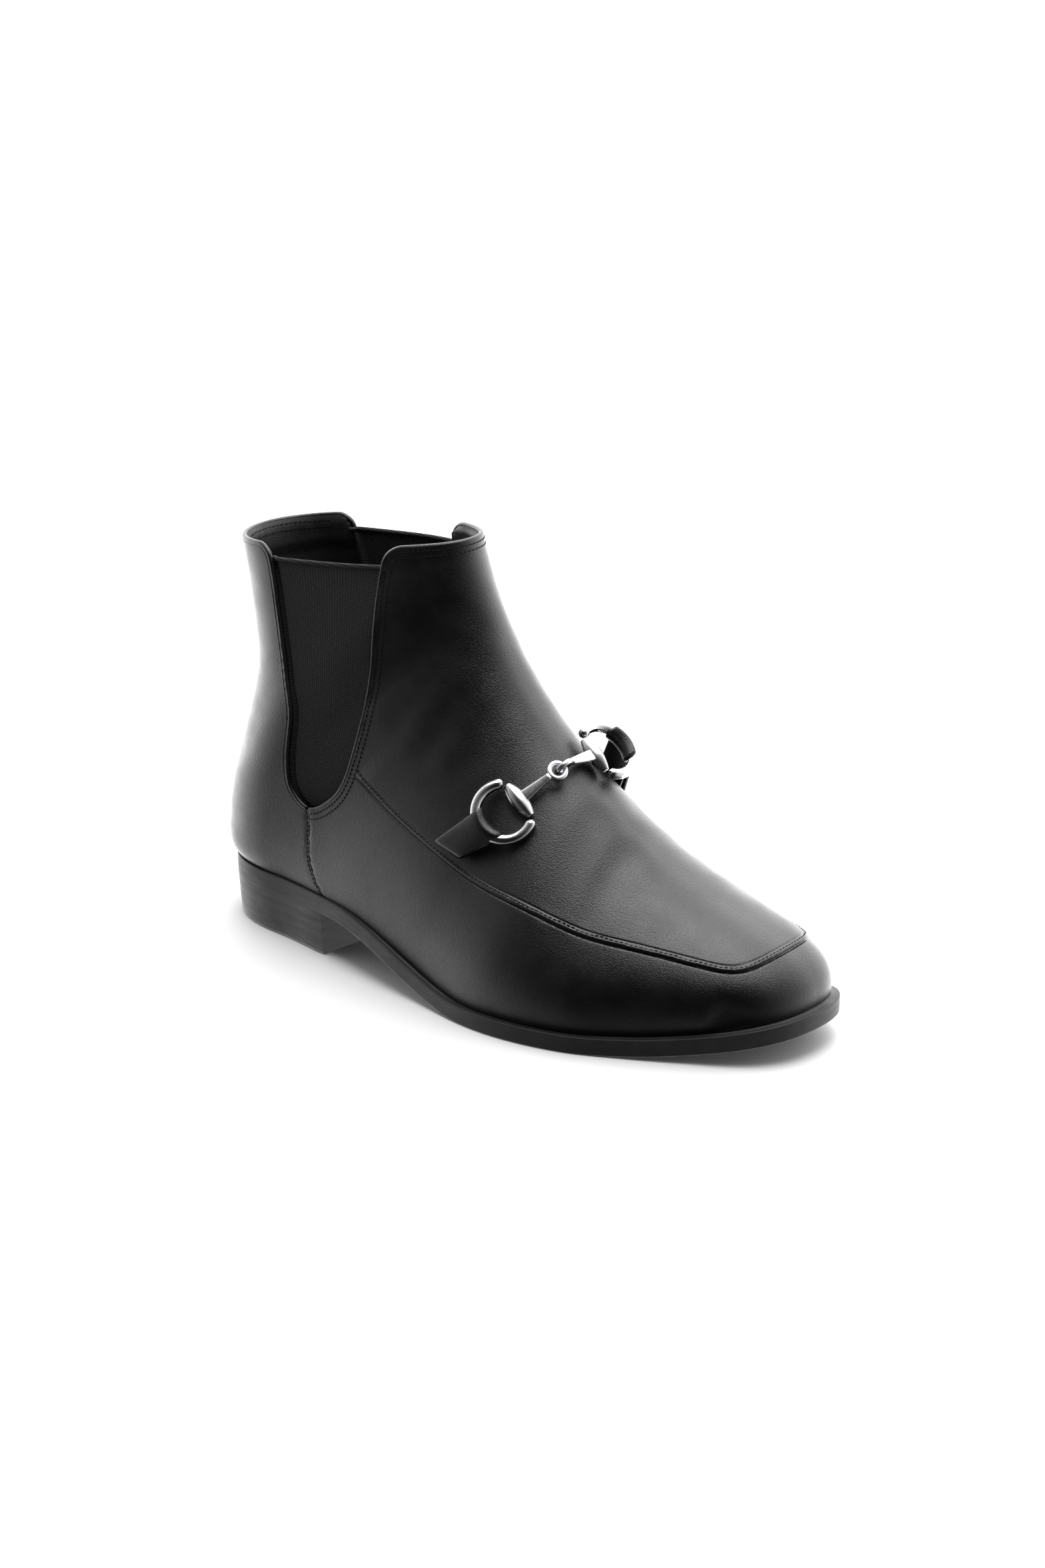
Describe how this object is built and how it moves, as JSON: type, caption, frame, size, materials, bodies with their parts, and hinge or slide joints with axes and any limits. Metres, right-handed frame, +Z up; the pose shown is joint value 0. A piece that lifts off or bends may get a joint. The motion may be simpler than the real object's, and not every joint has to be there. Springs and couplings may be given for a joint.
{
  "type": "flat boot",
  "caption": "Flat ankle boot for the right foot: smooth leather upper with a raised apron seam, elastic side gores, low heel and a metal snaffle bit across the vamp.",
  "frame": {"origin": "on the floor, at the centre of the boot's bounding box in plan", "axes": "+X towards the toe, +Y to the boot's left, which is the inner side of this right boot, +Z up"},
  "size_m": [0.2586, 0.093, 0.162],
  "materials": {
    "leather": "black, fine grain, satin",
    "elastic": "black ribbed elastic, matt",
    "sole": "black, smooth edge",
    "lining": "black lining leather, matt",
    "metal": "polished, silver"
  },
  "bodies": {
    "root": {"upper": "leather", "gore_right": "elastic", "gore_left": "elastic", "outsole": "sole", "heel": "sole", "insole": "lining", "bit_ring_right": "metal", "bit_ring_left": "metal", "bit_bar_right": "metal", "bit_bar_left": "metal", "tab_right": "leather", "tab_left": "leather"}
  },
  "joints": []
}
